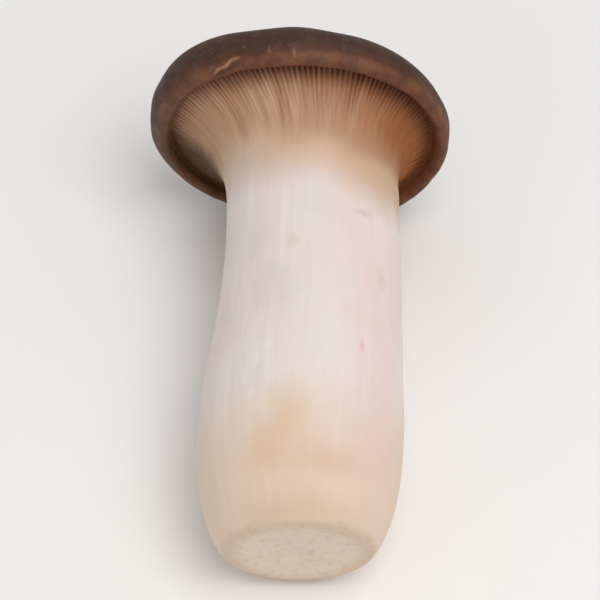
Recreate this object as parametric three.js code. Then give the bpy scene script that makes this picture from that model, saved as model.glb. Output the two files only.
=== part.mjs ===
// A king oyster mushroom, picked and trimmed, lying on its side on a table.
// It is one solid: a stout stem with a plain cut end, gills that start behind the rolled
// margin of the cap and run down onto the stem, and a thick, gently domed cap.
// Millimetres, +Z up, resting on z = 0. The cut end faces -Y and the crown faces +Y.
// The origin is on the table, under the middle of the box round the mushroom.
import * as THREE from "three";

// Where the outline of the mushroom passes, as [radius, distance from the cut end].
const STEM = [
  [16.5, 0],
  [18.6, 1.2],
  [21, 5.5],
  [23.2, 12.5],
  [24.6, 21],
  [25.1, 31],
  [24.7, 44],
  [23.5, 58],
  [22.5, 72],
  [22, 86],
];
const FLARE = [
  [21.8, 98],
  [22.2, 104],
  [23.6, 108.6],
  [26.2, 112.4],
  [29.6, 115.2],
  [32.8, 117.4],
];
const ROLLED_LIP = [
  [34, 117.9],
  [34.5, 116],
  [35.7, 114.9],
  [37.3, 115.5],
  [38.6, 117.8],
  [39, 120.4],
];
const CROWN = [
  [38.5, 123],
  [36.8, 125.6],
  [33.1, 128.2],
  [26.5, 131.2],
  [17.5, 133.4],
  [8.5, 134.2],
  [0, 134.1],
];
// The stem's middle wanders sideways from the cap's axis: [distance from the cut end, shift].
const SIDEWAYS = [
  [0, 0],
  [15, 0.2],
  [31, 0.5],
  [45, 1.3],
  [56, 2.2],
  [70, 3.3],
  [82, 3.8],
  [98, 3.8],
  [106, 3.2],
  [114, 1.6],
  [119, 0.4],
  [140, 0],
];
const CAP_STARTS = 100; // below this the section is the stem's, above CAP_FULL the cap's
const CAP_FULL = 118;
const CROWN_STARTS = 117; // the crown is a little thinner on one side, in full above CROWN_FULL
const CROWN_FULL = 124;
const CROWN_THINNING = 0.7;
const THINNER_ON_ONE_SIDE = 0.8;
const THIN_SIDE = rad(-9);
const CAP_TILT_SIDEWAYS = rad(3); // how the cap leans on the stem
const CAP_TILT_UPWARDS = rad(3);
// The slow waves round the outline, as [waves in a turn, height, angle of a crest]: of the
// stem's and the cap's radius, as shares of it, and of the cap's margin along the stem.
const STEM_WAVES = [
  [2, 0.012, rad(17)],
  [3, 0.008, rad(57)],
];
const CAP_WAVES = [
  [1, 0.002, rad(-137)],
  [2, 0.001, rad(-54)],
  [3, 0.0079, rad(-53)],
  [4, 0.0032, rad(29)],
  [5, 0.0059, rad(-7)],
];
const MARGIN_WAVES = [
  [2, 0.62, rad(12)],
  [3, 0.28, rad(8)],
];
const STEADY_WAVES = 30; // radius from which the cap's waves have their full height
const CAP_FLATTENING = 0.022; // the side of the cap that it lies on is a little flat
const FLATTENED_ARC = rad(26);
const UNDERSIDE = rad(270);

const LONG_GILLS = 60; // as many short ones stand between them
const COLUMNS_PER_LONG_GILL = 4; // a long crest, a valley, a short crest, a valley
const GILL_DEPTH = 2.5;
const SHORTEST_SHORT_GILL = 0.3; // as a share of the gilled stretch, from the margin
const LONGEST_SHORT_GILL = 0.62;
const GILL_SEED = 7;

const PRESSED_FLAT = 0.7; // how far the flesh gives where it bears on the table

const SIDES = LONG_GILLS; // of the rings off the gilled stretch
const ROWS = { stem: 17, flare: 11, lip: 6, crown: 8 };

const FLESH_COLOUR = 0xe0d0c6;

function rad(degrees) {
  return (degrees * Math.PI) / 180;
}

// A repeatable draw between 0 and 1.
function seededDraws(seed) {
  let state = seed;
  return () => {
    state = (state * 1664525 + 1013904223) % 4294967296;
    return state / 4294967296;
  };
}

function smooth(low, high, value) {
  return THREE.MathUtils.smoothstep(value, low, high);
}

function between(table, along) {
  const next = Math.max(
    1,
    table.findIndex(([at]) => at >= along),
  );
  const [[a0, v0], [a1, v1]] = [table[next - 1], table[next]];
  return v0 + ((v1 - v0) * (along - a0)) / (a1 - a0);
}

// The rows of the surface, from the cut end to the crown. gill is 0 where the gills fade out
// on the stem and 1 at the margin, and undefined off the gilled stretch.
function outlineRows() {
  const points = [...STEM, ...FLARE, ...ROLLED_LIP, ...CROWN];
  const curve = new THREE.SplineCurve(
    points.map(([radius, along]) => new THREE.Vector2(radius, along)),
  );
  const rows = [];
  let first = 0;
  const stretch = (name, last) => {
    for (let i = 0; i < ROWS[name]; i++) {
      const share = i / ROWS[name];
      const at = curve.getPoint(
        (first + share * (last - first)) / (points.length - 1),
      );
      const row = { radius: at.x, along: at.y };
      if (name === "flare") row.gill = share;
      rows.push(row);
    }
    first = last;
  };
  stretch("stem", STEM.length);
  stretch("flare", STEM.length + FLARE.length);
  rows.push({ radius: FLARE.at(-1)[0] + 1.2, along: 117.9, gill: 1 });
  first += 0.5;
  stretch("lip", STEM.length + FLARE.length + ROLLED_LIP.length);
  stretch("crown", points.length - 1);
  return rows;
}

// How deep the surface lies below the crests of the gills, in column i of a row.
function gillRelief(gill, i, shortGills) {
  const place = i % COLUMNS_PER_LONG_GILL;
  const depth =
    GILL_DEPTH * smooth(0, 0.5, gill) * (1 - 0.25 * smooth(0.8, 1, gill));
  if (place === 0) return 0;
  if (place === 2) {
    const reach = 1 - shortGills[(i - 2) / COLUMNS_PER_LONG_GILL];
    return depth * (1 - smooth(reach - 0.12, reach + 0.06, gill));
  }
  return depth;
}

function waves(table, turn) {
  return table.reduce(
    (sum, [count, height, crest]) =>
      sum + height * Math.cos(count * (turn - crest)),
    0,
  );
}

// A point of the surface: x to the right, y up from the table and z along the stem. turn goes
// round from the right by way of the top, so the table is at UNDERSIDE.
function surfacePoint(radius, along, turn) {
  const cap = smooth(CAP_STARTS, CAP_FULL, along);
  const crown = smooth(CROWN_STARTS, CROWN_FULL, along);
  const flat =
    CAP_FLATTENING *
    Math.exp(-(((turn - UNDERSIDE) / FLATTENED_ARC) ** 2));
  const wave =
    1 +
    (1 - cap) * waves(STEM_WAVES, turn) +
    cap * (waves(CAP_WAVES, turn) - flat);
  const x = radius * wave * Math.cos(turn) + between(SIDEWAYS, along);
  const y = radius * wave * Math.sin(turn);
  const outward = Math.min(1, radius / STEADY_WAVES); // the waves die out at the crown's middle
  const thinning =
    CROWN_THINNING + outward * THINNER_ON_ONE_SIDE * Math.cos(turn - THIN_SIDE);
  const lean =
    y * Math.tan(CAP_TILT_UPWARDS) - x * Math.tan(CAP_TILT_SIDEWAYS);
  const z =
    along +
    cap * (outward * waves(MARGIN_WAVES, turn) + lean) -
    crown * thinning;
  return new THREE.Vector3(x, y, z);
}

// The rings of points. Those on the gilled stretch have more points than the others.
function surfaceRings() {
  const draw = seededDraws(GILL_SEED);
  const shortGills = Array.from({ length: LONG_GILLS }, () =>
    THREE.MathUtils.lerp(SHORTEST_SHORT_GILL, LONGEST_SHORT_GILL, draw()),
  );
  return outlineRows().map(({ radius, along, gill }) => {
    const columns =
      gill === undefined ? SIDES : LONG_GILLS * COLUMNS_PER_LONG_GILL;
    const ring = [];
    for (let i = 0; i < columns; i++) {
      const turn = (2 * Math.PI * i) / columns;
      if (gill === undefined) {
        ring.push(surfacePoint(radius, along, turn));
        continue;
      }
      const relief = gillRelief(gill, i, shortGills);
      const into = smooth(0.1, 0.7, gill) * rad(90); // from sideways to up into the cap
      ring.push(
        surfacePoint(
          radius - relief * Math.cos(into),
          along + relief * Math.sin(into),
          turn,
        ),
      );
    }
    return ring;
  });
}

// Triangles between two rings, which may differ in their number of points.
function stitch(faces, lower, upper) {
  const share = Math.max(lower.count, upper.count);
  const at = (ring, step) =>
    ring.start + (Math.floor((step * ring.count) / share) % ring.count);
  for (let step = 0; step < share; step++) {
    const [a, b] = [at(lower, step), at(lower, step + 1)];
    const [c, d] = [at(upper, step), at(upper, step + 1)];
    if (a !== b) faces.push(a, c, b);
    if (c !== d) faces.push(b, c, d);
  }
}

// The angle that the stem is lifted by when the cap's rim and the stem's belly both bear.
function restingLift(points) {
  const lowest = (lift, isCap) =>
    Math.min(
      ...points
        .filter((p) => p.z > CAP_STARTS === isCap)
        .map((p) => p.z * Math.sin(lift) + p.y * Math.cos(lift)),
    );
  let [low, high] = [0, rad(20)];
  for (let i = 0; i < 30; i++) {
    const middle = (low + high) / 2;
    if (lowest(middle, true) > lowest(middle, false)) high = middle;
    else low = middle;
  }
  return low;
}

function mushroomGeometry() {
  const rings = surfaceRings();
  const points = [new THREE.Vector3(0, 0, STEM[0][1] + 0.4)];
  const spans = rings.map((ring) => {
    const span = { start: points.length, count: ring.length };
    points.push(...ring);
    return span;
  });
  const crownMiddle = surfacePoint(0, CROWN.at(-1)[1], 0);
  points.push(crownMiddle);

  const faces = [];
  const first = spans[0];
  const last = spans.at(-1);
  for (let i = 0; i < SIDES; i++) {
    const next = (i + 1) % SIDES;
    faces.push(0, first.start + i, first.start + next);
    faces.push(points.length - 1, last.start + next, last.start + i);
  }
  for (let i = 0; i + 1 < spans.length; i++) {
    stitch(faces, spans[i], spans[i + 1]);
  }

  // Lay it down, press the two places that bear, and put the origin under its middle.
  const lift = restingLift(points);
  const lying = points.map(
    (p) =>
      new THREE.Vector3(
        p.x,
        p.z * Math.cos(lift) - p.y * Math.sin(lift),
        p.z * Math.sin(lift) + p.y * Math.cos(lift),
      ),
  );
  const box = new THREE.Box3().setFromPoints(lying);
  const middle = box.getCenter(new THREE.Vector3());
  for (const p of lying) {
    const height = p.z - box.min.z - PRESSED_FLAT;
    p.set(p.x - middle.x, p.y - middle.y, Math.max(0, height));
  }

  const geometry = new THREE.BufferGeometry().setFromPoints(lying);
  geometry.setIndex(faces);
  geometry.computeVertexNormals();
  return geometry;
}

const mushroom = new THREE.Mesh(
  mushroomGeometry(),
  new THREE.MeshStandardMaterial({
    color: FLESH_COLOUR,
    roughness: 0.7,
    metalness: 0,
  }),
);
mushroom.name = "mushroom";

const group = new THREE.Group();
group.add(mushroom);
export default group;
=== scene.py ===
"""A king oyster mushroom, trimmed and laid on its side on a pale table.

The mushroom is one grown piece: a stout stem with a cut end, gills that start behind the rolled
margin of the cap and run down onto the stem, and a thick, gently domed cap. Its surface is made of
rings of points, from the middle of the cut end to the middle of the crown. All shapes are worked
out in millimetres in the mushroom's own frame: x to the right, y up from the table and z along the
stem, from the cut end. It is then lifted by the angle at which it rests, and turned to metres.
"""

import logging
import math
from dataclasses import dataclass, field
from enum import Enum
from typing import Callable, Optional, Sequence, Union

import bpy
import numpy as np
from mathutils import Matrix, Vector


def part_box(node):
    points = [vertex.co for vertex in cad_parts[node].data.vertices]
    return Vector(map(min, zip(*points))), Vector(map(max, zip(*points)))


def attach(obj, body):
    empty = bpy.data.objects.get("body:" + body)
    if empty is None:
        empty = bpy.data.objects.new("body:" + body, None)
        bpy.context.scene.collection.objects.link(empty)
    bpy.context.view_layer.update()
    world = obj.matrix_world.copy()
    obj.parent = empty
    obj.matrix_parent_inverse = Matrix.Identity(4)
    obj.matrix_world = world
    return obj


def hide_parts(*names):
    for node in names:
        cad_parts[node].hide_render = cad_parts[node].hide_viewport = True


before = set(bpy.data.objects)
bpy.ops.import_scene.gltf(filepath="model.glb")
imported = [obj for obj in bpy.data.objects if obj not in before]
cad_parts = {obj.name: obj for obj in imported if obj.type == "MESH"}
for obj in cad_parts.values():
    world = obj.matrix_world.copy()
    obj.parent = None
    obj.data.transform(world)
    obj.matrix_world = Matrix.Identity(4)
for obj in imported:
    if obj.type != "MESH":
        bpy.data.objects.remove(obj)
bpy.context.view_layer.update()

LOG = logging.getLogger("mushroom")
MM = 0.001
NODE = "mushroom"

Colour = tuple[float, float, float]
Span = tuple[float, float]
Fineness = Union[float, Colour]
Waves = tuple[tuple[int, float, float], ...]
Array = np.ndarray
Number = Union[float, "Signal"]


def srgb(*levels: int) -> Colour:
    """Turn a colour as seen on a screen into the linear one that shaders use.

    Args:
        *levels: Red, green and blue, 0 to 255.

    Returns:
        The same colour, linear, 0 to 1.
    """
    shares = (level / 255 for level in levels)
    return tuple(s / 12.92 if s <= 0.04045 else ((s + 0.055) / 1.055) ** 2.4 for s in shares)


def smooth(low: float, high: float, value: Array) -> Array:
    """Rise smoothly from 0 at low to 1 at high.

    Args:
        low: Where the rise starts.
        high: Where it ends.
        value: The numbers to look up.

    Returns:
        0 to 1 for each number.
    """
    share = np.clip((np.asarray(value, float) - low) / (high - low), 0, 1)
    return share * share * (3 - 2 * share)


def bell(distance: Array) -> Array:
    """Fall off from 1 at no distance to nearly 0 at a distance of 2.

    Args:
        distance: In units of the bell's half width.

    Returns:
        0 to 1 for each distance.
    """
    return np.exp(-np.square(distance))


def turn_from(turn: Array, middle: float) -> Array:
    """Give the signed angle from middle to turn, the short way round.

    Args:
        turn: Angles in radians.
        middle: The angle to measure from.

    Returns:
        Angles between minus and plus half a turn.
    """
    return (np.asarray(turn) - middle + math.pi) % (2 * math.pi) - math.pi


class Zone(Enum):
    """A stretch of the outline, with its first and last place along it."""

    STEM = (0.0, 10.0)
    GILLS = (10.0, 15.6)
    MARGIN = (16.0, 22.0)
    CROWN = (22.0, 28.0)

    def places(self, count: int, to_end: bool = False) -> Array:
        """Spread places evenly over the stretch, the last one at its very end if to_end."""
        return np.linspace(self.value[0], self.value[1], count, endpoint=to_end)


@dataclass(frozen=True)
class Outline:
    """The mushroom's outline from the cut end to the crown, as (radius, distance along)."""

    points: tuple[Span, ...] = (
        (16.5, 0.0), (18.6, 1.2), (21.0, 5.5), (23.2, 12.5), (24.6, 21.0),
        (25.1, 31.0), (24.7, 44.0), (23.5, 58.0), (22.5, 72.0), (22.0, 86.0),
        (21.8, 98.0), (22.2, 104.0), (23.6, 108.6), (26.2, 112.4), (29.6, 115.2),
        (32.8, 117.4), (34.0, 117.9), (34.5, 116.0), (35.7, 114.9), (37.3, 115.5),
        (38.6, 117.8), (39.0, 120.4), (38.5, 123.0), (36.8, 125.6), (33.1, 128.2),
        (26.5, 131.2), (17.5, 133.4), (8.5, 134.2), (0.0, 134.1),
    )

    def at(self, places: Array) -> tuple[Array, Array]:
        """Follow the smooth curve through the points.

        Args:
            places: Places along the outline, a whole number at each point.

        Returns:
            Points on the curve and the curve's outward directions, as (radius, along) pairs.
        """
        knots = np.array(self.points)
        last = len(knots) - 1
        index = np.clip(np.floor(places).astype(int), 0, last - 1)
        share = (places - index)[:, None]
        before = knots[np.maximum(index - 1, 0)]
        start = knots[index]
        end = knots[index + 1]
        after = knots[np.minimum(index + 2, last)]
        slope_in = (end - before) / 2
        slope_out = (after - start) / 2
        cubic = 2 * start - 2 * end + slope_in + slope_out
        square = -3 * start + 3 * end - 2 * slope_in - slope_out
        points = cubic * share**3 + square * share**2 + slope_in * share + start
        along = 3 * cubic * share**2 + 2 * square * share + slope_in
        outward = np.stack([along[:, 1], -along[:, 0]], axis=1)
        return points, outward / np.linalg.norm(outward, axis=1, keepdims=True)


@dataclass(frozen=True)
class Ripple:
    """Seeded slow lumps: a sum of waves in random directions."""

    seed: int
    length: float
    count: int = 14
    spread: float = 0.5

    def at(self, points: Array) -> Array:
        """Look the lumps up at points.

        Args:
            points: Points in millimetres, the last axis being x, y, z.

        Returns:
            About -1 to 1 for each point.
        """
        draw = np.random.default_rng(self.seed)
        directions = draw.normal(size=(self.count, 3))
        directions /= np.linalg.norm(directions, axis=1, keepdims=True)
        lengths = self.length * (1 + self.spread * draw.uniform(-1, 1, self.count))
        phases = draw.uniform(0, 2 * math.pi, self.count)
        waves = np.tensordot(points, (directions * (2 * math.pi / lengths)[:, None]).T, 1)
        return np.cos(waves + phases).sum(-1) / math.sqrt(self.count)


@dataclass(frozen=True)
class Form:
    """How the outline turns into a surface: wandering stem, waved and tilted cap."""

    sideways: tuple[Span, ...] = (
        (0, 0), (15, 0.2), (31, 0.5), (45, 1.3), (56, 2.2), (70, 3.3),
        (82, 3.8), (98, 3.8), (106, 3.2), (114, 1.6), (119, 0.4), (140, 0),
    )
    stem_waves: Waves = ((2, 0.012, 17), (3, 0.008, 57))
    cap_waves: Waves = (
        (1, 0.002, -137), (2, 0.001, -54), (3, 0.0079, -53), (4, 0.0032, 29), (5, 0.0059, -7),
    )
    margin_waves: Waves = ((2, 0.62, 12), (3, 0.28, 8))
    cap: Span = (100, 118)
    crown: Span = (117, 124)
    thinning: float = 0.7
    thinner_on_one_side: float = 0.8
    thin_side: float = math.radians(-9)
    tilt_sideways: float = math.radians(3)
    tilt_upwards: float = math.radians(3)
    steady_waves: float = 30
    flattening: float = 0.022
    flattened_arc: float = math.radians(26)
    underside: float = math.radians(270)
    rim_along: float = 119.5

    @staticmethod
    def waves(table: Waves, turn: Array) -> Array:
        """Add up slow waves round the outline.

        Args:
            table: Waves in a turn, height and the angle of a crest in degrees, for each.
            turn: Angles in radians.

        Returns:
            The sum at each angle.
        """
        return sum(
            height * np.cos(count * (turn - math.radians(crest))) for count, height, crest in table
        )

    def surface(
        self, radius: Array, along: Array, turn: Array, at: Optional[float] = None
    ) -> Array:
        """Put points of the outline on the surface.

        Args:
            radius: Distance from the stem's middle.
            along: Distance from the cut end.
            turn: Angle round from the right, by way of the top.
            at: The distance along that the section is taken for, if it isn't each point's own.

        Returns:
            The points, in the mushroom's own frame.
        """
        section = along if at is None else np.full_like(turn, at)
        cap = smooth(*self.cap, section)
        crown = smooth(*self.crown, section)
        flat = self.flattening * bell(turn_from(turn, self.underside) / self.flattened_arc)
        wave = 1 + (1 - cap) * self.waves(self.stem_waves, turn)
        wave = wave + cap * (self.waves(self.cap_waves, turn) - flat)
        shifts = np.array(self.sideways)
        x = radius * wave * np.cos(turn) + np.interp(section, shifts[:, 0], shifts[:, 1])
        y = radius * wave * np.sin(turn)
        outward = np.minimum(1, radius / self.steady_waves)
        thinner = outward * self.thinner_on_one_side * np.cos(turn - self.thin_side)
        lean = y * math.tan(self.tilt_upwards) - x * math.tan(self.tilt_sideways)
        z = along + cap * (outward * self.waves(self.margin_waves, turn) + lean)
        z = z - crown * (self.thinning + thinner)
        return np.stack([x, y, z], axis=-1)


@dataclass
class Ring:
    """One ring of the surface's points, and the numbers that mark them for the finish."""

    points: Array
    marks: dict[str, Array]


MARKS = ("gill", "gap", "tone", "skin", "across", "cut")
AT_CUT_MIDDLE = {"cut": 1.0}
AT_CROWN_MIDDLE = {"gill": 1.0, "skin": 1.0, "across": 52.0}


@dataclass(frozen=True)
class Section:
    """What every stretch of the mushroom shares: it makes rings round the outline."""

    outline: Outline = Outline()
    form: Form = Form()

    def ring(
        self,
        point: Array,
        outward: Array,
        turn: Array,
        relief: Union[float, Array] = 0.0,
        **marks: Union[float, Array],
    ) -> Ring:
        """Make one ring.

        Args:
            point: The outline's radius and distance along.
            outward: The outline's outward direction there.
            turn: The angle of each point.
            relief: How far each point stands out from the outline, in millimetres.
            **marks: Any of MARKS; those left out are 0.

        Returns:
            The ring.
        """
        relief = relief + np.zeros_like(turn)
        points = self.form.surface(
            point[0] + outward[0] * relief, point[1] + outward[1] * relief, turn, float(point[1])
        )
        marked = {name: marks.get(name, 0.0) + np.zeros_like(turn) for name in MARKS}
        return Ring(points, marked)

    @staticmethod
    def turns(count: int) -> Array:
        """Give evenly spaced angles for the points of a ring."""
        return np.arange(count) * (2 * math.pi / count)

    @staticmethod
    def circle(radius: float, along: float, turn: Array) -> Array:
        """Give a plain round ring, at which lumps are looked up."""
        flat = [radius * np.cos(turn), radius * np.sin(turn), np.full_like(turn, along)]
        return np.stack(flat, axis=-1)

    @staticmethod
    def way(points: Array) -> Array:
        """Measure the way along the outline from the first of its points to each."""
        return np.concatenate([[0], np.cumsum(np.linalg.norm(np.diff(points, axis=0), axis=1))])


@dataclass(frozen=True)
class CutEnd(Section):
    """The trimmed end of the stem, nearly flat, a little rough from the knife."""

    columns: int = 288
    rows: int = 9
    first_radius: float = 1.0
    dish: float = 0.4
    roughness: float = 0.16
    grain: Ripple = Ripple(seed=31, length=5.5)

    def middle(self) -> Array:
        """Give the point in the middle of the cut."""
        return np.array([0.0, 0.0, self.dish])

    def rings(self) -> list[Ring]:
        """Make the rings from the middle outwards.

        Returns:
            The rings, in order.
        """
        turn = self.turns(self.columns)
        edge = self.outline.points[0][0]
        outward = np.array([0, -1])
        rings = []
        for radius in np.linspace(self.first_radius, edge, self.rows, endpoint=False):
            share = radius / edge
            grain = self.grain.at(self.circle(radius, 0.0, turn))
            relief = self.roughness * grain * (1 - share**6)
            point = np.array([radius, self.dish * (1 - share**2)])
            rings.append(self.ring(point, outward, turn, relief, cut=1.0))
        return rings


@dataclass(frozen=True)
class Stem(Section):
    """The stout stem, with faint lengthwise flutes and slow lumps."""

    columns: int = 288
    rows: int = 82
    lump_height: float = 0.17
    flute_height: float = 0.02
    flutes: tuple[int, ...] = (17, 29, 41)
    flute_sway: float = 0.01
    sway_length: float = 17.0
    smooth_ends: tuple[Span, Span] = ((0, 8), (88, 98))
    cut_edge: Span = (0.2, 2.0)
    lumps: Ripple = Ripple(seed=5, length=34.0)
    seed: int = 12

    def rings(self) -> list[Ring]:
        """Make the rings from the cut end to where the gills fade out.

        Returns:
            The rings, in order.
        """
        turn = self.turns(self.columns)
        draw = np.random.default_rng(self.seed)
        phases = draw.uniform(0, 2 * math.pi, len(self.flutes))
        rings = []
        for point, outward in zip(*self.outline.at(Zone.STEM.places(self.rows))):
            radius, along = point
            first, last = self.smooth_ends
            fade = smooth(*first, along) * (1 - smooth(*last, along))
            sways = self.flute_sway * np.sin(along / self.sway_length + phases)
            flute = sum(
                np.cos(count * turn + phase + count * sway)
                for count, phase, sway in zip(self.flutes, phases, sways)
            )
            lumps = self.lumps.at(self.circle(radius, along, turn))
            relief = fade * (self.lump_height * lumps + self.flute_height * flute)
            cut = 1 - smooth(*self.cut_edge, along)
            rings.append(self.ring(point, outward, turn, relief, cut=cut))
        return rings


@dataclass(frozen=True)
class Gills(Section):
    """The gills: blades of four lengths, deepest behind the margin, that fade out on the stem,
    marked for painted shade in their gaps.
    """

    count: int = 144
    rows: int = 46
    depth: float = 1.7
    depth_at: tuple[Span, ...] = (
        (0.0, 0.0), (0.15, 0.03), (0.35, 0.04), (0.55, 0.1),
        (0.72, 0.3), (0.86, 0.76), (0.93, 1.0), (1.0, 0.9),
    )
    reaches: tuple[Span, ...] = ((1.0, 1.0), (0.34, 0.5), (0.62, 0.74), (0.3, 0.46))
    blade: tuple[Span, ...] = (
        (-0.5, 0.0), (-0.34, 0.18), (-0.2, 0.84), (0.0, 1.0), (0.2, 0.84), (0.34, 0.18),
    )
    uneven: float = 0.45
    calmer: float = 0.4
    calm_turn: float = math.radians(160)
    calm_arc: float = math.radians(48)
    shifted: float = 0.12
    swaying: float = 0.1
    sways: tuple[int, ...] = (9, 17, 31, 53)
    bends: Span = (2.0, 5.0)
    rise: Span = (-0.09, 0.07)
    flat_blade: float = 0.8
    gap_shade_rise: Span = (-0.12, 0.16)
    shadow_from: Span = (0.3, 0.72)
    shadow: Span = (0.3, 1.0)
    seed: int = 4

    def rings(self) -> list[Ring]:
        """Make the rings from where the gills fade out to the margin.

        Returns:
            The rings, in order.
        """
        draw = np.random.default_rng(self.seed)
        per = len(self.blade)
        offsets = np.array([offset for offset, _ in self.blade])
        height = np.tile([height for _, height in self.blade], self.count)
        pitch = 2 * math.pi / self.count
        shifts = np.repeat(self.shifted * draw.uniform(-1, 1, (self.count, 1)), per, axis=1)
        shifts[:, 0] = (shifts[:, 0] + np.roll(shifts[:, 0], 1)) / 2
        turn = ((np.arange(self.count)[:, None] + offsets[None, :] + shifts) * pitch).ravel()
        kinds = np.array([self.reaches[i % len(self.reaches)] for i in range(self.count)])
        reach = kinds[:, 0] + (kinds[:, 1] - kinds[:, 0]) * draw.uniform(0, 1, self.count)
        starts = np.repeat(1 - reach, per)
        drawn = ((-1, 1), (-1, 1), self.shadow_from, self.shadow)
        tone, uneven, shadow_from, shadow = (
            np.repeat(draw.uniform(*span, self.count), per) for span in drawn
        )
        bends = [
            (count, draw.uniform(0, 2 * math.pi), draw.uniform(*self.bends))
            for count in self.sways
        ]
        calm = 1 - self.calmer * bell(turn_from(turn, self.calm_turn) / self.calm_arc)
        stops = np.array(self.depth_at)

        places = Zone.GILLS.places(self.rows, to_end=True)
        shares = (places - places[0]) / (places[-1] - places[0])
        rings = []
        for share, point, outward in zip(shares, *self.outline.at(places)):
            depth = self.depth * np.interp(share, stops[:, 0], stops[:, 1])
            there = smooth(*self.rise, share - starts)
            crest = height * np.where(starts > 0.01, there, 1.0)
            sway = sum(
                math.sin(bend * share + phase) * np.sin(count * turn + phase)
                for count, phase, bend in bends
            )
            bent = turn + self.swaying * pitch * sway * math.sin(math.pi * min(1, share * 1.02))
            relief = -depth * (1 + self.uneven * uneven) * calm * (1 - crest)
            # Painted shade in the gaps between the blades, which starts at a random place on each
            # and deepens towards the margin.
            gap = (1 - np.maximum(crest, self.flat_blade * height)) * shadow * calm
            gap = gap * smooth(*self.gap_shade_rise, share - shadow_from)
            rings.append(self.ring(point, outward, bent, relief, gill=share, gap=gap, tone=tone))
        return rings


@dataclass(frozen=True)
class Margin(Section):
    """The rolled margin of the cap, with a groove behind it and a small tear on its inner edge; the
    groove and the slit under the tear are marked for painted shade.
    """

    columns: int = 576
    rows: int = 34
    wobble: float = 0.12
    bumps: Ripple = Ripple(seed=23, length=15.0)
    fine_bumps: Ripple = Ripple(seed=24, length=4.5)
    tear_turn: float = math.radians(121)
    tear_arc: float = math.radians(7.5)
    tear_place: float = 19.25
    tear_height: float = 0.5
    tear_width: float = 0.18
    tear_slant: float = 0.5
    tear_waver: float = 0.07
    tear_notches: float = 0.12
    slit: Span = (-0.5, 0.22)
    slit_shadow: Span = (-0.52, 0.3)
    torn_flesh: float = 0.19
    fine_share: float = 0.3
    loosened: Span = (16.0, 18.0)
    groove_shade: float = 0.12
    groove: Span = (16.0, 17.2)
    skin: Span = (16.3, 17.6)

    def rings(self) -> list[Ring]:
        """Make the rings from the groove behind the gills to the widest place of the cap.

        Returns:
            The rings, in order.
        """
        turn = self.turns(self.columns)
        places = Zone.MARGIN.places(self.rows)
        points, outwards = self.outline.at(places)
        rings = []
        for place, point, outward, distance in zip(places, points, outwards, self.way(points)):
            flat = self.circle(point[0], point[1], turn)
            loose = float(smooth(*self.loosened, place))
            bumps = self.bumps.at(flat) + self.fine_share * self.fine_bumps.at(flat)
            ragged = turn_from(turn, self.tear_turn) / self.tear_arc
            lifted = bell(ragged**2) * (1 - self.tear_notches * (1 - np.cos(9 * ragged + 1)))
            slant = place - self.tear_place + self.tear_slant * ragged
            slant = slant + self.tear_waver * np.cos(7 * ragged)
            (slit, slit_width), (shadow, shadow_width) = self.slit, self.slit_shadow
            edges = bell(slant / self.tear_width) - bell((slant - slit) / slit_width)
            relief = loose * self.wobble * bumps + self.tear_height * lifted * edges
            marks = {
                "gill": 1.0,
                "skin": float(smooth(*self.skin, place)),
                "across": distance,
                "tone": lifted * bell(slant / self.torn_flesh),
                # Painted shade in the groove behind the gills and painted shadow under the tear.
                "gap": self.groove_shade * (1 - float(smooth(*self.groove, place)))
                + lifted * bell((slant - shadow) / shadow_width),
            }
            rings.append(self.ring(point, outward, turn, relief, **marks))
        return rings


@dataclass(frozen=True)
class Crown(Section):
    """The thick, gently domed top of the cap."""

    columns: int = 288
    rows: int = 30
    lump_height: float = 0.2
    lumps: Ripple = Ripple(seed=41, length=21.0)
    margin: Margin = Margin()
    rows_from_margin: int = 8
    first_across: float = 11.6

    def rings(self) -> list[Ring]:
        """Make the rings from the widest place of the cap to near the middle of the crown.

        Returns:
            The rings, in order.
        """
        turn = self.turns(self.columns)
        points, outwards = self.outline.at(Zone.CROWN.places(self.rows))
        across = self.first_across + self.way(points)
        rings = []
        for step, (point, outward, distance) in enumerate(zip(points, outwards, across)):
            place = self.circle(point[0], point[1], turn)
            share = float(smooth(0, self.rows_from_margin, step))
            relief = (1 - share) * self.margin.wobble * self.margin.bumps.at(place)
            relief = relief + share * self.lump_height * self.lumps.at(place)
            marks = {"gill": 1.0, "skin": 1.0, "across": distance}
            rings.append(self.ring(point, outward, turn, relief, **marks))
        return rings

    def middle(self) -> Array:
        """Give the point in the middle of the crown."""
        along = self.outline.points[-1][1]
        return self.form.surface(np.zeros(1), np.array([along]), np.zeros(1))[0]


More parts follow.
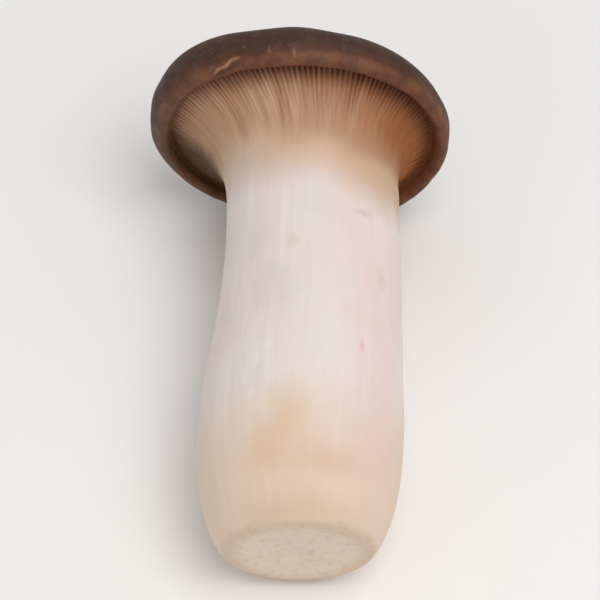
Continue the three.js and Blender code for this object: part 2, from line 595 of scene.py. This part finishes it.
@dataclass
class Mushroom:
    """The whole mushroom: the stretches' rings joined into one closed mesh, laid on the table."""

    cut_end: CutEnd = CutEnd()
    stem: Stem = Stem()
    gills: Gills = Gills()
    margin: Margin = Margin()
    crown: Crown = Crown()
    pressed_flat: float = 0.7
    lift: float = 0.0
    shift: Vector = field(default_factory=Vector)

    @staticmethod
    def stitch(lower: tuple[int, int], upper: tuple[int, int]) -> Array:
        """Join two rings with triangles.

        Args:
            lower: The lower ring's first point and number of points.
            upper: The upper ring's. One number has to be a multiple of the other.

        Returns:
            Triangles, as rows of three point numbers.
        """
        share = max(lower[1], upper[1])
        step = np.arange(share + 1)
        low, high = (first + (step * count // share) % count for first, count in (lower, upper))
        below = np.stack([low[:-1], high[:-1], low[1:]], axis=1)[low[:-1] != low[1:]]
        above = np.stack([low[1:], high[:-1], high[1:]], axis=1)[high[:-1] != high[1:]]
        return np.concatenate([below, above])

    def resting_lift(self, points: Array) -> float:
        """Find the angle at which the cap's margin and the stem's belly both bear.

        Args:
            points: The surface, in the mushroom's own frame.

        Returns:
            The angle that the stem is lifted by, in radians.
        """
        on_cap = points[:, 2] > self.stem.form.cap[0]
        low, high = 0.0, math.radians(20)
        for _ in range(30):
            lift = (low + high) / 2
            height = points[:, 2] * math.sin(lift) + points[:, 1] * math.cos(lift)
            if height[on_cap].min() > height[~on_cap].min():
                high = lift
            else:
                low = lift
        return low

    def lay_down(self, points: Array) -> Array:
        """Turn points of the mushroom's own frame into the table's, without the shift.

        Args:
            points: Points in millimetres.

        Returns:
            Points in millimetres, lifted by the resting angle.
        """
        x, y, z = points.T
        cos, sin = math.cos(self.lift), math.sin(self.lift)
        return np.stack([x, z * cos - y * sin, z * sin + y * cos], axis=1)

    def to_table(self, point: Sequence[float]) -> Vector:
        """Find where a point of the mushroom's own frame is on the table, in metres."""
        return Vector(self.lay_down(np.array([point], float))[0] * MM) + self.shift

    def join(self, counts: Sequence[int]) -> Array:
        """Make the triangles between all rings and round the two middles.

        Args:
            counts: How many points each ring has; one middle comes before them, one after.

        Returns:
            Triangles, as rows of three point numbers.
        """
        starts = 1 + np.concatenate([[0], np.cumsum(counts)])
        spans = list(zip(starts, counts))
        faces = [self.stitch(lower, upper) for lower, upper in zip(spans, spans[1:])]
        for middle, (start, count), way in ((0, spans[0], 1), (starts[-1], spans[-1], -1)):
            step = start + np.arange(count)
            pair = [step, np.roll(step, -1)][::way]
            faces.append(np.stack([np.full(count, middle), *pair], axis=1))
        return np.concatenate(faces)

    def put_on_table(self, own: Array) -> Array:
        """Lay the surface where the frame's mushroom lies, pressed flat where it bears.

        Args:
            own: The surface, in the mushroom's own frame.

        Returns:
            The surface on the table, in metres.
        """
        self.lift = self.resting_lift(own)
        lying = self.lay_down(own) * MM
        low, high = (np.array(corner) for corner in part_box(NODE))
        across, along, _ = (low + high) / 2 - (lying.min(0) + lying.max(0)) / 2
        lowest = lying[:, 2].min()
        self.shift = Vector((across, along, low[2] - lowest - self.pressed_flat * MM))
        lying += np.array(self.shift)
        lying[:, 2] = np.maximum(lying[:, 2], low[2])
        return lying

    def build(self) -> bpy.types.Object:
        """Make the mesh, with its marks, and lay it where the frame's mushroom lies.

        Returns:
            The new object.
        """
        parts = (self.cut_end, self.stem, self.gills, self.margin, self.crown)
        rings = [ring for part in parts for ring in part.rings()]
        surface = [ring.points for ring in rings]
        own = np.concatenate([[self.cut_end.middle()], *surface, [self.crown.middle()]])
        triangles = self.join([len(points) for points in surface])

        mesh = bpy.data.meshes.new("whole_mushroom")
        mesh.from_pydata(self.put_on_table(own).tolist(), [], triangles.tolist())
        mesh.shade_smooth()
        for name in MARKS:
            first, last = AT_CUT_MIDDLE.get(name, 0.0), AT_CROWN_MIDDLE.get(name, 0.0)
            values = np.concatenate([[first], *[ring.marks[name] for ring in rings], [last]])
            layer = mesh.attributes.new(name, "FLOAT", "POINT")
            layer.data.foreach_set("value", values.astype(np.float32))
        layer = mesh.attributes.new("own", "FLOAT_VECTOR", "POINT")
        layer.data.foreach_set("vector", own.astype(np.float32).ravel())
        whole = bpy.data.objects.new("whole_mushroom", mesh)
        bpy.context.scene.collection.objects.link(whole)
        lifted = math.degrees(self.lift)
        LOG.info("mushroom: %d triangles, lifted %.1f degrees", len(triangles), lifted)
        return whole


@dataclass(frozen=True)
class Spot:
    """A small soft spot of another colour, with a ragged outline: its middle and half sizes."""

    middle: Colour
    size: Colour
    colour: Colour
    strength: float


@dataclass(frozen=True)
class Mottle:
    """Patches of another colour, which start and are full where some noise reaches the span."""

    fine: Fineness
    span: Span
    colour: Colour
    strength: float
    detail: float = 3.0
    rough: float = 0.6


def reckoning(operation: str, flipped: bool = False) -> Callable[["Signal", Number], "Signal"]:
    """Make an operator of Signal.

    Args:
        operation: The Math node's operation.
        flipped: Whether the other number comes first.

    Returns:
        The operator.
    """
    if flipped:
        return lambda self, other: self.math(operation, other, self)
    return lambda self, other: self.math(operation, self, other)


class Signal:
    """A number that varies over a surface, which can be reckoned with."""

    def __init__(self, shader: "Shader", socket: bpy.types.NodeSocket) -> None:
        """Wrap the output of a node that gives the number."""
        self.shader = shader
        self.socket = socket

    def math(self, operation: str, *values: Number) -> "Signal":
        """Add a Math node with these inputs."""
        made = self.shader.node("ShaderNodeMath", dict(enumerate(values)), operation=operation)
        return Signal(self.shader, made.outputs[0])

    __add__ = __radd__ = reckoning("ADD")
    __sub__ = reckoning("SUBTRACT")
    __rsub__ = reckoning("SUBTRACT", flipped=True)
    __mul__ = __rmul__ = reckoning("MULTIPLY")
    __pow__ = reckoning("POWER")
    __rpow__ = reckoning("POWER", flipped=True)

    def smooth(self, low: float, high: float) -> "Signal":
        """Rise smoothly from 0 at low to 1 at high, or fall where low is above high.

        Args:
            low: Where the rise starts.
            high: Where it ends.

        Returns:
            0 to 1.
        """
        values = {"Value": self, "From Min": min(low, high), "From Max": max(low, high)}
        values.update({"To Min": float(low > high), "To Max": float(low < high)})
        made = self.shader.node("ShaderNodeMapRange", values, interpolation_type="SMOOTHSTEP")
        return Signal(self.shader, made.outputs["Result"])


class Shader:
    """The nodes of one material."""

    def __init__(self, name: str) -> None:
        """Start a material.

        Args:
            name: The material's name.
        """
        self.material = bpy.data.materials.new(name)
        self.material.use_nodes = True
        self.tree = self.material.node_tree
        self.surface = next(node for node in self.tree.nodes if node.type == "BSDF_PRINCIPLED")

    def feed(self, socket: bpy.types.NodeSocket, value: object) -> None:
        """Set a socket or link something to it.

        Args:
            socket: An input.
            value: A number, a colour, a vector, a Signal or an output.
        """
        value = getattr(value, "socket", value)
        if isinstance(value, bpy.types.NodeSocket):
            self.tree.links.new(value, socket)
        elif isinstance(value, tuple) and len(socket.default_value) == 4:
            socket.default_value = (*value, 1.0)
        else:
            socket.default_value = value

    def node(self, kind: str, values: dict, **settings: object) -> bpy.types.Node:
        """Add a node.

        Args:
            kind: The node's type.
            values: What its inputs are fed, by name or number.
            **settings: Its properties.

        Returns:
            The node.
        """
        made = self.tree.nodes.new(kind)
        for name, value in settings.items():
            setattr(made, name, value)
        for name, value in values.items():
            self.feed(made.inputs[name], value)
        return made

    def mark(self, name: str) -> Signal:
        """Read one of the mesh's marks."""
        made = self.node("ShaderNodeAttribute", {}, attribute_name=name)
        return Signal(self, made.outputs["Fac"])

    def own(self) -> bpy.types.NodeSocket:
        """Read where the surface is in the mushroom's own frame, in millimetres."""
        return self.node("ShaderNodeAttribute", {}, attribute_name="own").outputs["Vector"]

    def vector(
        self, operation: str, *values: object, output: str = "Vector"
    ) -> bpy.types.NodeSocket:
        """Add a Vector Math node with these inputs, and give one of its outputs."""
        made = self.node("ShaderNodeVectorMath", dict(enumerate(values)), operation=operation)
        return made.outputs[output]

    def length(self, vector: object) -> Signal:
        """Measure the length of a vector."""
        return Signal(self, self.vector("LENGTH", vector, output="Value"))

    def towards(self, direction: Colour) -> Signal:
        """Give 1 on that side of the stem, 0 a quarter turn away and -1 on the other side."""
        return Signal(self, self.vector("DOT_PRODUCT", self.around(), direction, output="Value"))

    def along(self) -> Signal:
        """Read how far the surface is from the cut end, in millimetres."""
        return Signal(self, self.node("ShaderNodeSeparateXYZ", {0: self.own()}).outputs["Z"])

    def around(self) -> bpy.types.NodeSocket:
        """Give the direction from the stem's middle to the surface, with a length of 1."""
        return self.vector("NORMALIZE", self.vector("MULTIPLY", self.own(), ACROSS))

    def noise(
        self, vector: object, fine: Fineness, detail: float = 2.0, rough: float = 0.5
    ) -> Signal:
        """Add seeded noise.

        Args:
            vector: Where to look it up.
            fine: How fine it is, in all directions or along x, y and z.
            detail: How many finer layers it has.
            rough: How strong they are.

        Returns:
            About 0 to 1, mostly near 0.5.
        """
        if isinstance(fine, tuple):
            vector, fine = self.vector("MULTIPLY", vector, fine), 1.0
        values = {"Vector": vector, "Scale": fine, "Detail": detail, "Roughness": rough}
        return Signal(self, self.node("ShaderNodeTexNoise", values).outputs[0])

    def stray(self, height: float, *noise: float) -> Signal:
        """Add noise round 0, by which a border strays up to about half the height."""
        return self.noise(self.own(), *noise) * height - height / 2

    def mix(self, share: Number, first: object, second: object) -> bpy.types.NodeSocket:
        """Mix two colours: only the first at a share of 0, only the second at 1."""
        values = {0: share, 6: first, 7: second}
        return self.node("ShaderNodeMix", values, data_type="RGBA", clamp_factor=True).outputs[2]

    def painted(self, colour: object, *layers: tuple[Number, Colour]) -> object:
        """Paint layers over a colour.

        Args:
            colour: A colour or an output.
            *layers: How much of each shows, and its colour.

        Returns:
            The colour.
        """
        for share, over in layers:
            colour = self.mix(share, colour, over)
        return colour

    def spotted(self, colour: object, spots: Sequence[Spot]) -> object:
        """Put spots on a colour.

        Args:
            colour: A colour or an output.
            spots: The spots.

        Returns:
            The colour.
        """
        for spot in spots:
            away = self.vector("SUBTRACT", self.own(), spot.middle)
            away = self.vector("DIVIDE", away, spot.size)
            ragged = self.stray(1.1, 3.0 / sum(spot.size), 4.0, 0.6)
            there = (self.length(away) + ragged).smooth(1.0, 0.0)
            colour = self.mix(there * spot.strength, colour, spot.colour)
        return colour

    def mottled(self, colour: object, mottles: Sequence[Mottle]) -> object:
        """Put mottles on a colour.

        Args:
            colour: A colour or an output.
            mottles: The mottles.

        Returns:
            The colour.
        """
        for mottle in mottles:
            noise = self.noise(self.own(), mottle.fine, mottle.detail, mottle.rough)
            there = noise.smooth(*mottle.span)
            colour = self.mix(there * mottle.strength, colour, mottle.colour)
        return colour


ACROSS = (1.0, 1.0, 0.0)
UP = (0.0, 1.0, 0.0)
LEFT = (-1.0, 0.0, 0.0)
RIGHT = (1.0, 0.0, 0.0)
UPPER_RIGHT = (0.77, 0.64, 0.0)
LOWER_RIGHT = (0.94, -0.34, 0.0)
LOWER_LEFT = (-0.74, -0.67, 0.0)


@dataclass(frozen=True)
class SkinFinish:
    """The cap's skin: light brown on the margin's inner edge, grey outside, mottled on top.

    The bands follow each other outwards from the groove, between the distances given.
    """

    inner: Colour = srgb(116, 70, 44)
    inner_lit_left: Colour = srgb(116, 80, 58)
    bands: tuple[tuple[Colour, Span], ...] = (
        (srgb(118, 75, 50), (3.6, 5.4)),
        (srgb(88, 53, 36), (5.8, 7.8)),
        (srgb(74, 50, 40), (7.2, 10.5)),
        (srgb(102, 79, 71), (12.0, 24.0)),
    )
    mottles: tuple[Mottle, ...] = (
        Mottle(0.2, (0.4, 0.62), srgb(60, 40, 34), 0.45, 4.0, 0.65),
        Mottle(0.33, (0.5, 0.7), srgb(114, 84, 74), 0.28),
        Mottle(0.9, (0.6, 0.74), srgb(140, 112, 96), 0.3, 3.0, 0.65),
    )
    streak: Colour = srgb(60, 40, 34)
    spokes: Colour = (26.0, 26.0, 0.0)
    change: Colour = (0.05, 0.05, 0.05)
    streak_span: Span = (0.48, 0.7)
    streak_strength: float = 0.45
    streaked: tuple[Span, Span] = ((7.0, 13.0), (50.0, 38.0))
    # Painted shadow, in the groove and under the tear.
    shadow: Colour = srgb(76, 42, 26)
    tear: Colour = srgb(166, 122, 94)
    marks: tuple[Spot, ...] = (
        # Painted shade on the lower left of the margin.
        Spot((-34, -5, 117), (9, 24, 8), srgb(72, 44, 30), 0.6),
        Spot((26, 29, 120), (14, 14, 8), srgb(68, 42, 30), 0.4),
        Spot((-7.3, 37.6, 119), (0.8, 1.2, 1.8), srgb(150, 118, 98), 0.45),
        Spot((-1.1, 38, 118.2), (0.8, 1.2, 2.2), srgb(158, 124, 102), 0.5),
        Spot((-9.5, 37, 118), (1.8, 1.2, 0.9), srgb(142, 108, 90), 0.35),
    )

    def colour(self, shader: Shader) -> bpy.types.NodeSocket:
        """Give the skin's colour.

        Args:
            shader: The material's nodes.

        Returns:
            The colour.
        """
        upper_right = shader.towards(UPPER_RIGHT).smooth(0.5, 0.95)
        left = shader.towards(LEFT).smooth(0.5, 0.95)
        across = shader.mark("across") + shader.stray(2.4, 0.11, 3.0) - upper_right
        # Painted light: the margin's inner edge paler on the lit left.
        colour = shader.mix(left, self.inner, self.inner_lit_left)
        for band, span in self.bands:
            colour = shader.mix(across.smooth(*span), colour, band)
        colour = shader.mottled(colour, self.mottles)
        spokes = shader.vector("MULTIPLY", shader.around(), self.spokes)
        change = shader.vector("MULTIPLY", shader.own(), self.change)
        streaks = shader.noise(shader.vector("ADD", spokes, change), 1.0, 3.0, 0.6)
        streaks = streaks.smooth(*self.streak_span) * self.streak_strength
        for span in self.streaked:
            streaks = streaks * across.smooth(*span)
        colour = shader.spotted(shader.mix(streaks, colour, self.streak), self.marks)
        return shader.painted(
            colour,
            # Painted shade in the groove and painted shadow under the tear, then the pale torn
            # flesh.
            (shader.mark("gap") * 0.8, self.shadow),
            (shader.mark("tone").smooth(0.2, 0.9) * 0.9, self.tear),
        )


@dataclass(frozen=True)
class GillFinish:
    """The gills: tan, pinkish near the margin, with painted brown shade in the gaps, under the
    margin and in the lower-left recess, painted light on the left and a painted warm glow in the
    shade on the right.
    """

    pale: Colour = srgb(218, 188, 164)
    pale_left: Colour = srgb(209, 185, 164)
    tan: Colour = srgb(188, 148, 118)
    pink: Colour = srgb(166, 113, 84)
    ruddy: Colour = srgb(152, 101, 68)
    # Painted light: a paler tan for the lit left of the gills.
    left: Colour = srgb(178, 145, 116)
    gap: Colour = srgb(84, 48, 32)
    shade_under_margin: Colour = srgb(108, 66, 42)
    warm_glow_in_shade: Colour = srgb(156, 90, 40)
    orange_glow_in_shade: Colour = srgb(140, 84, 46)
    shade: Colour = srgb(70, 38, 18)

    def colour(self, shader: Shader) -> bpy.types.NodeSocket:
        """Give the gills' colour.

        Args:
            shader: The material's nodes.

        Returns:
            The colour.
        """
        share = shader.mark("gill") + shader.stray(0.12, 0.12)
        reach = share.smooth(0.12, 0.4)
        streak = shader.noise(shader.around(), (24.0, 24.0, 0.0), 3.0, 0.6)
        broad = shader.noise(shader.around(), (8.5, 8.5, 0.0), 2.0, 0.5)
        bright = shader.mark("tone") * share.smooth(0.2, 0.7)
        sideways = shader.towards(RIGHT)
        leftwards = sideways.smooth(0.05, -0.7)
        left = shader.towards(LEFT).smooth(0.5, 0.95)
        lower_right = shader.towards(LOWER_RIGHT).smooth(-0.1, 0.85)
        upper_right = shader.towards(UPPER_RIGHT).smooth(0.55, 0.95)
        recess = (shader.towards(LOWER_LEFT) + shader.stray(0.16, 0.25, 3.0, 0.6)).smooth(0.6, 0.93)
        # Painted shade under the margin, reaching further down the gills at the top and on the
        # right.
        to_margin = share + 0.12 + shader.towards(UP).smooth(0.0, 1.0) * 0.12
        to_margin = (to_margin + sideways.smooth(0.5, 0.9) * 0.05).smooth(0.84, 1.1)
        to_stem = share + sideways.smooth(0.1, 0.8) * 0.14 - leftwards * 0.13
        return shader.painted(
            shader.mix(leftwards, self.pale, self.pale_left),
            (to_stem.smooth(0.0, 0.34), self.tan),
            (share.smooth(0.5, 0.9), self.pink),
            (streak.smooth(0.35, 0.7) * share.smooth(0.1, 0.6) * 0.35, self.pink),
            (broad.smooth(0.52, 0.66) * reach * 0.3, self.ruddy),
            (broad.smooth(0.46, 0.34) * reach * 0.2, self.pale),
            (bright.smooth(0.0, 1.0) * 0.15, self.pale),
            # Randomly darker blades, in the brown of the painted gap shade.
            (bright.smooth(0.0, -1.0) * 0.12, self.gap),
            # Painted light on the lit left of the gills.
            (left * share.smooth(0.1, 0.6) * 0.6, self.left),
            # Painted warm glow in the shade on the lower right and the upper right of the gills.
            (lower_right * share.smooth(-0.06, 0.48) * 0.92, self.warm_glow_in_shade),
            (upper_right * share.smooth(0.3, 0.8) * 0.5, self.orange_glow_in_shade),
            (recess * share.smooth(0.14, 0.52) * 0.9, self.shade),
            # Painted shade under the margin, weaker on the lit left.
            (to_margin * (0.78 - left * 0.42), self.shade_under_margin),
            # Painted shade in the gaps between the blades.
            (shader.mark("gap") ** 1.2 * 0.45, self.gap),
        )


@dataclass(frozen=True)
class StemFinish:
    """The stem: near-white flesh with faint fibres, ochre low down with painted shade at the
    bottom, a few small marks.
    """

    white: Colour = srgb(234, 224, 221)
    cream: Colour = srgb(228, 203, 179)
    cut: Colour = srgb(230, 214, 196)
    cut_shade: Colour = srgb(196, 162, 130)
    creamy: Span = (44.0, 12.0)
    mottles: tuple[Mottle, ...] = (
        Mottle(0.035, (0.4, 0.62), srgb(235, 217, 213), 1.0, 2.0, 0.5),
        Mottle(0.055, (0.5, 0.7), srgb(220, 213, 208), 0.4, 3.0, 0.5),
        Mottle((0.7, 0.7, 0.03), (0.45, 0.75), srgb(220, 213, 208), 0.26),
        Mottle((0.24, 0.24, 0.018), (0.5, 0.66), srgb(240, 232, 228), 0.38, 2.0, 0.5),
    )
    spots: tuple[Spot, ...] = (
        Spot((-4, 24, 21), (13, 14, 17), srgb(222, 192, 158), 0.42),
        Spot((-2.2, 24, 25.5), (6, 12, 11), srgb(218, 182, 142), 0.24),
        Spot((-7.5, 24, 18), (9, 12, 9), srgb(216, 179, 142), 0.3),
        # A brownish band low on the stem, partly ochre and partly painted shade.
        Spot((6, 23, 14), (26, 14, 8), srgb(210, 172, 144), 0.42),
        Spot((16, 16, 30), (12, 14, 34), srgb(231, 201, 196), 0.58),
        Spot((18, 13, 58), (11, 14, 26), srgb(232, 204, 200), 0.45),
        Spot((14, 18, 78), (13, 14, 30), srgb(234, 210, 207), 0.55),
        # A broad darker, greyer tint towards the cut end: painted shade.
        Spot((0, 20, 2), (30, 20, 11), srgb(206, 178, 152), 0.55),
        Spot((15.2, 20.7, 45.4), (0.9, 3, 2.6), srgb(226, 160, 154), 0.42),
        Spot((-10.2, 21.8, 42), (1.1, 3, 4), srgb(242, 237, 237), 0.5),
        Spot((-7.6, 22.6, 45.2), (2.2, 3, 1.6), srgb(242, 237, 237), 0.4),
        Spot((-12.8, 20.2, 37.6), (1.1, 3, 5), srgb(242, 237, 237), 0.45),
        Spot((-11.4, 21, 33), (1.2, 3, 2.4), srgb(242, 235, 230), 0.4),
        Spot((15.8, 18.5, 83.6), (4, 3, 1.5), srgb(196, 176, 168), 0.42),
        Spot((-1.5, 21.4, 74.4), (2.4, 3, 2.6), srgb(220, 206, 186), 0.6),
        Spot((20, 14.5, 66.5), (2, 4, 5), srgb(206, 182, 170), 0.5),
    )

    def colour(self, shader: Shader) -> bpy.types.NodeSocket:
        """Give the stem's colour.

        Args:
            shader: The material's nodes.

        Returns:
            The colour.
        """
        low = (shader.along() + shader.stray(30.0, 0.05, 3.0)).smooth(*self.creamy)
        colour = shader.mix(low * 0.8, shader.mottled(self.white, self.mottles), self.cream)
        cut = shader.mark("cut")
        pores = shader.noise(shader.own(), 0.5, 4.0, 0.65).smooth(0.5, 0.68)
        outwards = shader.length(shader.vector("MULTIPLY", shader.own(), ACROSS))
        return shader.painted(
            shader.spotted(colour, self.spots),
            (cut * 0.8, self.cut),
            (cut * pores * 0.35, self.cut_shade),
            (cut * outwards.smooth(12.0, 17.5) * 0.4, self.cut_shade),
        )


@dataclass(frozen=True)
class MushroomLook:
    """The whole mushroom's finish: flesh, gills and skin, which run into each other."""

    skin: SkinFinish = SkinFinish()
    gills: GillFinish = GillFinish()
    stem: StemFinish = StemFinish()
    into_gills: Span = (89.0, 103.0)
    later_at_right: float = 7.0
    sooner_at_left: float = 2.5
    flesh_roughness: float = 0.62
    skin_roughness: float = 0.58
    fibre: Fineness = (1.1, 1.1, 0.05)
    grain: float = 1.1
    net: float = 0.5
    net_waver: Colour = (1.2, 1.2, 1.2)
    pits: float = 0.9
    bump: float = 0.3
    bump_height: float = 0.2 * MM
    glow: float = 0.12
    glow_reach: float = 3.0 * MM
    glow_colour: Colour = (1.0, 0.55, 0.35)
    shine: float = 0.25

    def material(self) -> bpy.types.Material:
        """Make the material.

        Returns:
            The material.
        """
        shader = Shader("mushroom_flesh_and_skin")
        own = shader.own()
        skin = shader.mark("skin")
        sideways = shader.towards(RIGHT)
        place = shader.along() + shader.stray(4.0, 0.2, 3.0)
        place = place + sideways.smooth(0.1, 0.85) * self.later_at_right
        place = place - sideways.smooth(-0.2, -0.9) * self.sooner_at_left
        stem, gills = self.stem.colour(shader), self.gills.colour(shader)
        flesh = shader.mix(place.smooth(*self.into_gills), stem, gills)

        fibre = shader.noise(own, self.fibre, 4.0, 0.6)
        waver = shader.node("ShaderNodeTexNoise", {"Vector": own, "Scale": 1.0})
        waver = shader.vector("MULTIPLY", waver.outputs["Color"], self.net_waver)
        net = {"Vector": shader.vector("ADD", own, waver), "Scale": self.net}
        net = shader.node("ShaderNodeTexVoronoi", net, feature="DISTANCE_TO_EDGE")
        net = Signal(shader, net.outputs["Distance"]).smooth(0.0, 0.2)
        grain = shader.noise(own, self.grain, 4.0, 0.6) + net * 0.3
        pits = shader.mark("cut") * shader.noise(own, self.pits, 5.0, 0.7)
        height = fibre * (1 - skin) + grain * skin * 0.8 + pits * 2.5
        relief = {"Height": height, "Strength": self.bump, "Distance": self.bump_height}
        rough = skin * (self.skin_roughness - self.flesh_roughness) + self.flesh_roughness
        finish = {
            "Base Color": shader.mix(skin, flesh, self.skin.colour(shader)),
            "Normal": shader.node("ShaderNodeBump", relief).outputs["Normal"],
            "Roughness": rough + shader.stray(0.12, 0.4, 3.0),
            "Subsurface Weight": self.glow,
            "Subsurface Radius": self.glow_colour,
            "Subsurface Scale": self.glow_reach,
            "Specular IOR Level": self.shine,
        }
        for name, value in finish.items():
            shader.feed(shader.surface.inputs[name], value)
        return shader.material


@dataclass(frozen=True)
class Lamp:
    """A square soft light that faces the mushroom, in metres and watts."""

    name: str
    place: Colour
    size: float
    watts: float
    colour: Colour


@dataclass
class Studio:
    """A pale table top, soft light and the camera."""

    mushroom: Mushroom
    floor_size: float = 6.0
    floor_colour: Colour = (0.92, 0.92, 0.92)
    floor_roughness: float = 0.85
    elevation: float = math.radians(50)
    distance: float = 0.75
    lens: float = 173.1
    sensor: float = 36.0
    nearest: float = 0.05
    aim_down: float = 44.4 * MM
    aim_right: float = 0.3 * MM
    sky: Colour = (1.0, 0.985, 0.965)
    sky_strength: float = 0.5
    lit_along: float = 80.0
    lamps: tuple[Lamp, ...] = (
        Lamp("key", (0.34, -0.34, 1.15), 0.8, 8.0, (1.0, 0.975, 0.945)),
        Lamp("fill", (-0.9, -0.7, 0.6), 0.9, 0.9, (1.0, 0.97, 0.94)),
    )

    def lay_floor(self) -> None:
        """Make the table top that the mushroom lies on."""
        half = self.floor_size / 2
        corners = [(-half, -half, 0), (half, -half, 0), (half, half, 0), (-half, half, 0)]
        mesh = bpy.data.meshes.new("table_top")
        mesh.from_pydata(corners, [], [(0, 1, 2, 3)])
        floor = bpy.data.objects.new("table_top", mesh)
        bpy.context.scene.collection.objects.link(floor)
        shader = Shader("pale_table")
        shader.feed(shader.surface.inputs["Base Color"], self.floor_colour)
        shader.feed(shader.surface.inputs["Roughness"], self.floor_roughness)
        mesh.materials.append(shader.material)

    def hang(self, lamp: Lamp) -> None:
        """Hang a lamp.

        Args:
            lamp: The lamp.
        """
        light = bpy.data.lights.new(lamp.name, "AREA")
        light.size = lamp.size
        light.energy = lamp.watts
        light.color = lamp.colour
        hung = bpy.data.objects.new(lamp.name, light)
        hung.location = lamp.place
        middle = self.mushroom.to_table((0, 0, self.lit_along))
        hung.rotation_euler = (middle - Vector(lamp.place)).to_track_quat("-Z", "Y").to_euler()
        bpy.context.scene.collection.objects.link(hung)

    def light(self) -> None:
        """Set up the sky and the lamps."""
        world = bpy.data.worlds.new("studio")
        world.use_nodes = True
        background = world.node_tree.nodes["Background"]
        background.inputs["Color"].default_value = (*self.sky, 1)
        background.inputs["Strength"].default_value = self.sky_strength
        bpy.context.scene.world = world
        for lamp in self.lamps:
            self.hang(lamp)

    def place_camera(self) -> None:
        """Look at the mushroom as the photo does, from the cut end and from above."""
        cap = self.mushroom.to_table((0, 0, self.mushroom.crown.form.rim_along))
        back = Vector((0, -math.cos(self.elevation), math.sin(self.elevation)))
        up = Vector((0, math.sin(self.elevation), math.cos(self.elevation)))
        data = bpy.data.cameras.new("camera")
        data.lens = self.lens
        data.sensor_width = self.sensor
        data.clip_start = self.nearest
        camera = bpy.data.objects.new("camera", data)
        place = cap + back * self.distance
        aim = cap - up * self.aim_down + Vector((self.aim_right, 0, 0))
        turn = (aim - place).to_track_quat("-Z", "Y").to_matrix().to_4x4()
        camera.matrix_world = Matrix.Translation(place) @ turn
        bpy.context.scene.collection.objects.link(camera)
        bpy.context.scene.camera = camera
        bpy.context.scene.view_settings.view_transform = "Standard"


def main() -> None:
    """Build the mushroom and the studio round it."""
    logging.basicConfig(level=logging.INFO, format="%(name)s: %(message)s")
    mushroom = Mushroom()
    whole = mushroom.build()
    whole.data.materials.append(MushroomLook().material())
    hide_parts(NODE)
    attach(whole, "root")

    studio = Studio(mushroom)
    studio.lay_floor()
    studio.light()
    studio.place_camera()


if __name__ == "__main__":
    main()
